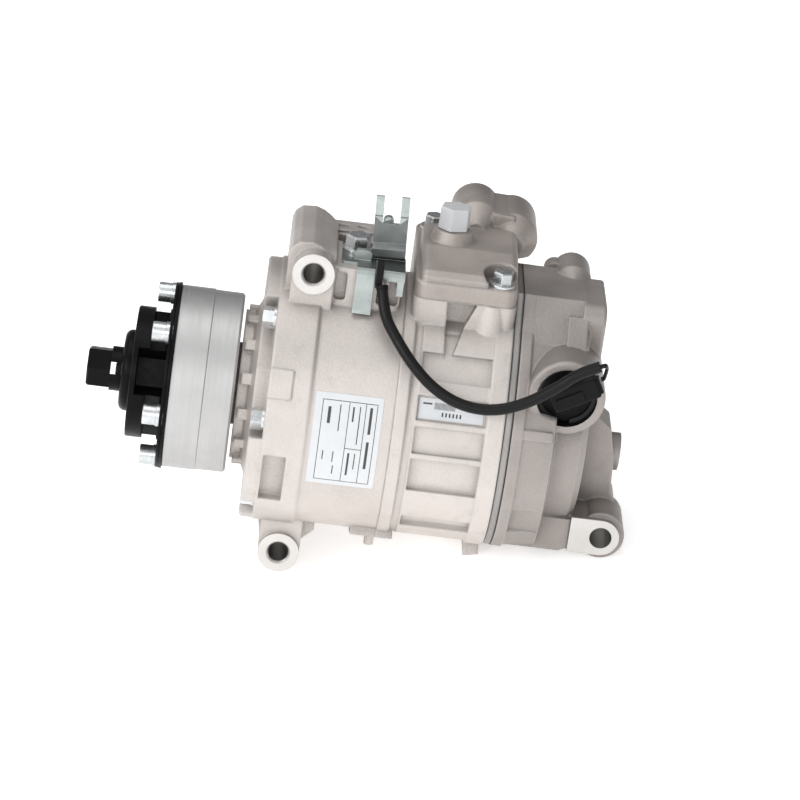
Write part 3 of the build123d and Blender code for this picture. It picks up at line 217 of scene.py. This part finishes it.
def coated(name, colour, roughness=0.34):
    """Dip-coated or painted black metal: low gloss, slight orange peel, paler dust on edges."""
    m = Shader(name)
    m.base(Metallic=0.0, Coat_Weight=0.02, Coat_Roughness=0.22, Specular_IOR_Level=0.08)
    normal, edge = m.worn_edges(0.5 * mm)
    tone = m.ramp(m.noise(120, 4, 0.6), ((0.35, colour), (0.75, tuple(c * 1.4 + 0.001 for c in colour))))
    tone = m.mix(m.math("MULTIPLY", edge, 0.06), tone, (0.10, 0.10, 0.11))
    rough = m.remap(m.noise(300, 3, 0.6), 0.3, 0.7, roughness - 0.06, roughness + 0.10)
    return m.finish(tone, rough, m.bump(m.noise(700, 2, 0.5), 0.02 * mm, 0.5, normal))


def zinc(name, light, dark, roughness=0.30, scale=420):
    """Zinc plating: crystalline patches of tone and gloss."""
    m = Shader(name)
    m.base(Metallic=0.95)
    normal, edge = m.worn_edges(0.4 * mm)
    cells = m.add("ShaderNodeTexVoronoi", Scale=scale)
    m.link(m.coords, cells.inputs["Vector"])
    flakes = m.add("ShaderNodeSeparateColor")
    m.link(cells.outputs["Color"], flakes.inputs["Color"])
    patches = m.noise(75, 3, 0.6)
    tone = m.ramp(patches, ((0.3, dark), (0.7, light)))
    glint = tuple(min(1, c * 1.3) for c in light)
    tone = m.mix(m.remap(flakes.outputs["Red"], 0.0, 1.0, 0.0, 0.18), tone, glint)
    tone = m.mix(m.math("MULTIPLY", edge, 0.5), tone, (0.9, 0.9, 0.9))
    rough = m.remap(flakes.outputs["Green"], 0.0, 1.0, roughness - 0.07, roughness + 0.10)
    return m.finish(tone, rough, m.bump(m.noise(900, 3, 0.6), 0.02 * mm, 0.5, normal))


def moulded(name, colour, roughness=0.42, grain=0.02 * mm, **sockets):
    """Moulded plastic or rubber: even tone with a fine texture."""
    m = Shader(name)
    m.base(Metallic=0.0, **sockets)
    normal, _ = m.worn_edges(0.3 * mm)
    paler = tuple(c * 1.06 + 0.001 for c in colour)
    tone = m.ramp(m.noise(150, 3, 0.6), ((0.3, colour), (0.75, paler)))
    rough = m.remap(m.noise(420, 3, 0.6), 0.3, 0.7, roughness - 0.06, roughness + 0.10)
    return m.finish(tone, rough, m.bump(m.noise(1300, 2, 0.6), grain, 0.5, normal))


# The port cover's and rear housing's darker tones are painted shade; the real castings may be one tone.
casting = cast_skin("casting", (0.66, 0.615, 0.585), (0.53, 0.49, 0.46))
casting_cover_painted_shade = cast_skin("casting_cover_painted_shade", (0.47, 0.425, 0.395), (0.37, 0.33, 0.305))
casting_rear_painted_shade = cast_skin("casting_rear_painted_shade", (0.42, 0.385, 0.365), (0.32, 0.29, 0.27), grain=1.2)
drum_metal = machined("drum_metal", (0.56, 0.555, 0.55), 0.50, "x", marked=0.07)
seat_metal = machined("seat_metal", (0.72, 0.70, 0.675), 0.40)
bore_metal = machined("bore_metal", (0.50, 0.49, 0.47), 0.34, "y")
black_coat = coated("black_coat", (0.003, 0.003, 0.0033))
screw_zinc = zinc("screw_zinc", (0.70, 0.72, 0.73), (0.54, 0.56, 0.57))
bracket_zinc = zinc("bracket_zinc", (0.47, 0.51, 0.495), (0.36, 0.395, 0.38), 0.40, 160)
# A painted shade, not a finish: the bracket is one zinc-plated sheet, and its back would reflect dark things.
bracket_shade = zinc("bracket_shade", (0.19, 0.205, 0.20), (0.14, 0.155, 0.15), 0.36, 160)
ground_steel = machined("ground_steel", (0.58, 0.58, 0.59), 0.28, "x")
spring_steel = machined("spring_steel", (0.22, 0.22, 0.23), 0.35)
plate_steel = machined("plate_steel", (0.40, 0.375, 0.355), 0.46)
gasket_black = moulded("gasket_black", (0.022, 0.021, 0.020), 0.6)
# Painted deep shade: the real mouth is probably bare casting.
mouth_painted_shade = moulded("mouth_painted_shade", (0.006, 0.006, 0.006), 0.55, Specular_IOR_Level=0.2)
piston_metal = machined("piston_metal", (0.72, 0.72, 0.72), 0.30, "x")
brass = machined("brass", (0.66, 0.50, 0.24), 0.30, "y")
black_plastic = moulded("black_plastic", (0.005, 0.005, 0.005), 0.40, Specular_IOR_Level=0.14)
sheath = moulded("sheath", (0.008, 0.008, 0.008), 0.34, 0.03 * mm, Specular_IOR_Level=0.17)
milky = moulded("milky", (0.72, 0.73, 0.74), 0.34, 0.01 * mm, Transmission_Weight=0.25, IOR=1.45)
label_film = moulded("label_film", (0.64, 0.655, 0.67), 0.42, 0.004 * mm, Specular_IOR_Level=0.3)
label_ink = moulded("label_ink", (0.05, 0.05, 0.05), 0.5, 0.004 * mm)

material_of = {
    casting: ("front_housing", "cylinder_housing"),
    casting_cover_painted_shade: ("port_cover",),
    casting_rear_painted_shade: ("rear_housing",),
    drum_metal: ("drum_front_ring", "drum_rear_ring"),
    black_coat: ("hub_cap", "coupling_spider", "front_drive_plate", "rear_drive_plate", "drive_hex"),
    screw_zinc: (
        "coupling_screws",
        "screw_washers",
        "plate_spacers",
        "cover_screws",
        "bracket_bolt",
        "through_bolts",
        "key_clips",
    ),
    bracket_zinc: ("harness_bracket",),
    ground_steel: (
        "shaft",
        "lug_plate",
        "hinge_pin",
        "swash_plate",
        "shaft_stop_ring",
        "front_thrust_race",
        "rear_thrust_race",
        "thrust_rollers",
        "front_needle_bearing",
        "rear_needle_bearing",
        "bearing_inner_race",
        "bearing_outer_race",
        "bearing_balls",
        "shoes",
        "valve_plunger",
    ),
    spring_steel: ("return_spring", "seal_circlip", "suction_reed_plate", "discharge_reed_plate"),
    plate_steel: ("valve_plate",),
    piston_metal: ("pistons",),
    gasket_black: (
        "cylinder_gasket",
        "head_gasket",
        "cover_gasket",
        "body_seal",
        "shaft_seal",
        "bearing_seals",
        "valve_seals",
        "valve_circlip",  # probably steel, black here as painted shade like the mouth round it
    ),
    brass: ("control_valve", "service_valve", "valve_core_pin"),
    milky: ("service_cap",),
    black_plastic: ("harness_connector", "valve_plug", "valve_head"),
    sheath: ("harness_cable", "plug_wires"),
    label_film: ("rating_label", "small_label"),
}
for material, names in material_of.items():
    for name in names:
        nodes[name].data.materials.clear()
        nodes[name].data.materials.append(material)


def second_material(name, material, test):
    """Gives a CAD node's faces another material where the test of centre and normal holds."""
    mesh = nodes[name].data
    mesh.materials.append(material)
    slot = len(mesh.materials) - 1
    for polygon in mesh.polygons:
        if test(polygon.center / mm, polygon.normal):
            polygon.material_index = slot


# Places in millimetres: a boss, ear or valve is its centre in X and Z.
front_boss, front_bore_r, front_boss_y = Vector((94.7, 67.0)), 4.5, 30.0
ear_centre, ear_bore_r, ear_front_y = Vector((237.0, -40.8)), 5.1, -31.0
valve_axis, mouth_r, mouth_front_y, mouth_floor_y = Vector((210.4, 32.3)), 13.4, -51.9, -12.0
sheet_base_low, sheet_base_high, upright_top = 71.0, 72.4, 89.0
upright_low, upright_front_y, base_front_y = 72.0, -13.5, -26.0
touching = 0.02


def from_axis(c, axis):
    """How far a face's centre is from an axis along Y."""
    return math.hypot(c.x - axis.x, c.z - axis.y)


def front_face(c, n):
    return abs(abs(c.y) - front_boss_y) < touching and abs(n.y) > 0.99


def front_bore(c, n):
    mirrored = Vector((c.x, c.y, abs(c.z)))
    return abs(from_axis(mirrored, front_boss) - front_bore_r) < 0.6 and abs(n.y) < 0.8


def ear_face(c, n):
    return abs(c.y - ear_front_y) < touching and n.y < -0.99


def ear_bore(c, n):
    return from_axis(c, ear_centre) < ear_bore_r and abs(n.y) < 0.2


def valve_mouth(c, n):
    return from_axis(c, valve_axis) < mouth_r and mouth_front_y < c.y < mouth_floor_y


def bracket_back(c, n):
    upright_back = c.y > upright_front_y and upright_low < c.z < upright_top and abs(n.x) < 0.5
    base_top = c.y > base_front_y and sheet_base_low < c.z < sheet_base_high
    return upright_back or base_top


second_material("harness_bracket", bracket_shade, bracket_back)
second_material("front_housing", seat_metal, front_face)
second_material("front_housing", bore_metal, front_bore)
second_material("rear_housing", seat_metal, ear_face)
second_material("rear_housing", bore_metal, ear_bore)
second_material("rear_housing", mouth_painted_shade, valve_mouth)

# ---- cable ----
cable_route = (
    (125.2, -32.0, 64.6),
    (127.2, -36.4, 55.0),
    (133.0, -44.4, 48.4),
    (141.5, -52.2, 39.6),
    (152.0, -58.4, 31.8),
    (165.0, -62.2, 27.0),
    (179.0, -63.6, 27.0),
    (192.5, -64.0, 32.6),
    (205.0, -64.0, 42.0),
    (213.6, -64.0, 50.0),
    (221.6, -64.0, 53.6),
)


def smooth_line(name, route, diameter):
    """A round NURBS tube that takes a route's points as its control points."""
    data = bpy.data.curves.new(name, "CURVE")
    data.dimensions = "3D"
    data.bevel_depth = diameter / 2
    data.bevel_resolution = 6
    data.resolution_u = 16
    data.use_fill_caps = True
    spline = data.splines.new("NURBS")
    spline.points.add(len(route) - 1)
    for point, (x, y, z) in zip(spline.points, route):
        point.co = (x * mm, y * mm, z * mm, 1)
    spline.order_u = 3
    spline.use_endpoint_u = True
    piece = bpy.data.objects.new(name, data)
    bpy.context.scene.collection.objects.link(piece)
    data.materials.append(sheath)
    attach(piece, "casing")
    return piece


cable_d = 5.0 * mm
cable = smooth_line("cable_line", cable_route, cable_d)
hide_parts("harness_cable")

# ---- print on the labels: plain lines and bars, no text ----
rating_x, rating_width = 102.0, 29.8
rating_top, rating_sweep = 23.0, 43.0
label_thickness, print_lift = 0.15, 0.03
rating_r = 58.2 + label_thickness + print_lift
small_r = 56.52 + label_thickness + print_lift
small_x, small_width, small_height = 147.0, 28.6, 9.2
small_angle = math.radians(21)


def rating_place(u, v):
    """A place on the curved rating label, u along the shaft and v downwards, both from 0 to 1."""
    angle = math.radians(rating_top - rating_sweep * v)
    return Vector((rating_x + rating_width * u, -rating_r * math.cos(angle), rating_r * math.sin(angle))) * mm


def small_place(u, v):
    """A place on the flat small label, u along the shaft and v downwards, both from 0 to 1."""
    down = Vector((0, -math.sin(small_angle), -math.cos(small_angle)))
    out = Vector((0, -math.cos(small_angle), math.sin(small_angle)))
    return (Vector((small_x + small_width * u, 0, 0)) + out * small_r + down * small_height * (v - 0.5)) * mm


def print_marks(name, place, marks):
    """One thin mesh of rectangular marks laid on a label; each mark is its u and v limits."""
    marks_bm = bmesh.new()
    for u0, u1, v0, v1 in marks:
        steps = max(1, round((v1 - v0) * 24))
        rows = [v0 + (v1 - v0) * step / steps for step in range(steps + 1)]
        left = [marks_bm.verts.new(place(u0, v)) for v in rows]
        right_side = [marks_bm.verts.new(place(u1, v)) for v in rows]
        for lower in range(steps):
            corners = (left[lower], left[lower + 1], right_side[lower + 1], right_side[lower])
            marks_bm.faces.new(corners)
    mesh = bpy.data.meshes.new(name)
    marks_bm.to_mesh(mesh)
    marks_bm.free()
    piece = bpy.data.objects.new(name, mesh)
    bpy.context.scene.collection.objects.link(piece)
    mesh.materials.append(label_ink)
    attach(piece, "casing")


thin_u, thin_v = 0.010, 0.007
frame_left, frame_right, frame_top, frame_bottom = 0.11, 0.91, 0.07, 0.94
column_1, column_2, divide = 0.50, 0.745, 0.55
upright = [(u, u + thin_u, frame_top, frame_bottom) for u in (frame_left, column_1, column_2, frame_right)]
level = [(frame_left, frame_right, v, v + thin_v) for v in (frame_top, frame_bottom)]
level.append((column_1, column_2, divide, divide + thin_v))
bars = [
    (0.81, 0.85, 0.11, 0.38),
    (0.81, 0.85, 0.46, 0.76),
    (0.66, 0.675, 0.11, 0.50),
    (0.56, 0.585, 0.12, 0.27),
    (0.66, 0.675, 0.60, 0.78),
    (0.56, 0.59, 0.60, 0.86),
    (0.37, 0.385, 0.11, 0.38),
    (0.20, 0.245, 0.14, 0.31),
    (0.34, 0.355, 0.60, 0.72),
    (0.36, 0.375, 0.76, 0.86),
    (0.19, 0.205, 0.60, 0.70),
]
print_marks("rating_print", rating_place, upright + level + bars)

digits = [(0.36 + 0.055 * step, 0.385 + 0.055 * step, 0.62, 0.82) for step in range(6)]
stripes = [(0.24 + 0.018 * step, 0.249 + 0.018 * step, 0.18, 0.50) for step in range(18)]
print_marks("small_print", small_place, digits + stripes + [(0.06, 0.20, 0.22, 0.30)])

# ---- smooth shading by angle on the CAD meshes ----
for node in nodes.values():
    for polygon in node.data.polygons:
        polygon.use_smooth = True
    node.data.set_sharp_from_angle(angle=math.radians(32))

# ---- floor and light ----
boss = Vector((front_boss.x, -front_boss.y)) * mm
ear = ear_centre * mm
boss_r, ear_r = 9.3 * mm, 10.8 * mm
span = ear - boss
floor_tilt = math.atan2(span.y, span.x) - math.asin((ear_r - boss_r) / span.length)
down = Vector((math.sin(floor_tilt), 0, -math.cos(floor_tilt)))
contact = Vector((boss.x, 0, boss.y)) + down * boss_r

floor_mesh = bpy.data.meshes.new("floor")
floor_bm = bmesh.new()
bmesh.ops.create_circle(floor_bm, cap_ends=True, segments=96, radius=9.0)
floor_bm.to_mesh(floor_mesh)
floor_bm.free()
floor = bpy.data.objects.new("floor", floor_mesh)
floor.matrix_world = Matrix.Translation(contact) @ Matrix.Rotation(-floor_tilt, 4, "Y")
bpy.context.scene.collection.objects.link(floor)
floor_look = Shader("floor_paper")
floor_look.base(Metallic=0.0, Specular_IOR_Level=0.1, Emission_Color=(1, 1, 1, 1), Emission_Strength=0.50)
paper_dark, paper_light = (0.93, 0.93, 0.93), (0.955, 0.955, 0.955)
paper = floor_look.ramp(floor_look.noise(9, 2, 0.5), ((0.3, paper_dark), (0.7, paper_light)))
paper_rough = floor_look.remap(floor_look.noise(30), 0.3, 0.7, 0.85, 0.95)
floor_mesh.materials.append(floor_look.finish(paper, paper_rough))

world = bpy.data.worlds.new("studio")
bpy.context.scene.world = world
world.use_nodes = True
tree = world.node_tree
background = tree.nodes["Background"]
# The surroundings are brightest towards the front left and fall off to the back right.
sky_coords = tree.nodes.new("ShaderNodeTexCoord")
towards_light = tree.nodes.new("ShaderNodeVectorMath")
towards_light.operation = "DOT_PRODUCT"
towards_light.inputs[1].default_value = Vector((-0.62, -0.72, 0.30)).normalized()
spread = tree.nodes.new("ShaderNodeMapRange")
spread.inputs["From Min"].default_value = -0.7
spread.inputs["From Max"].default_value = 0.85
spread.inputs["To Min"].default_value = 0.13
spread.inputs["To Max"].default_value = 0.80
tree.links.new(sky_coords.outputs["Generated"], towards_light.inputs[0])
tree.links.new(towards_light.outputs["Value"], spread.inputs["Value"])
tree.links.new(spread.outputs["Result"], background.inputs["Strength"])
background.inputs["Color"].default_value = (0.98, 0.99, 1.0, 1)

light_aim = Vector((0.14, 0, 0))


def softbox(name, place, size, power):
    """A large square area light that faces the object."""
    data = bpy.data.lights.new(name, "AREA")
    data.size = size
    data.energy = power
    lamp = bpy.data.objects.new(name, data)
    lamp.location = place
    lamp.rotation_euler = (light_aim - Vector(place)).to_track_quat("-Z", "Y").to_euler()
    bpy.context.scene.collection.objects.link(lamp)


softbox("top", (-0.3, 0.1, 1.7), 1.2, 8)
softbox("left", (-1.1, -1.0, 0.65), 0.6, 8.5)
softbox("front", (-0.2, -1.9, 0.80), 0.8, 5.5)
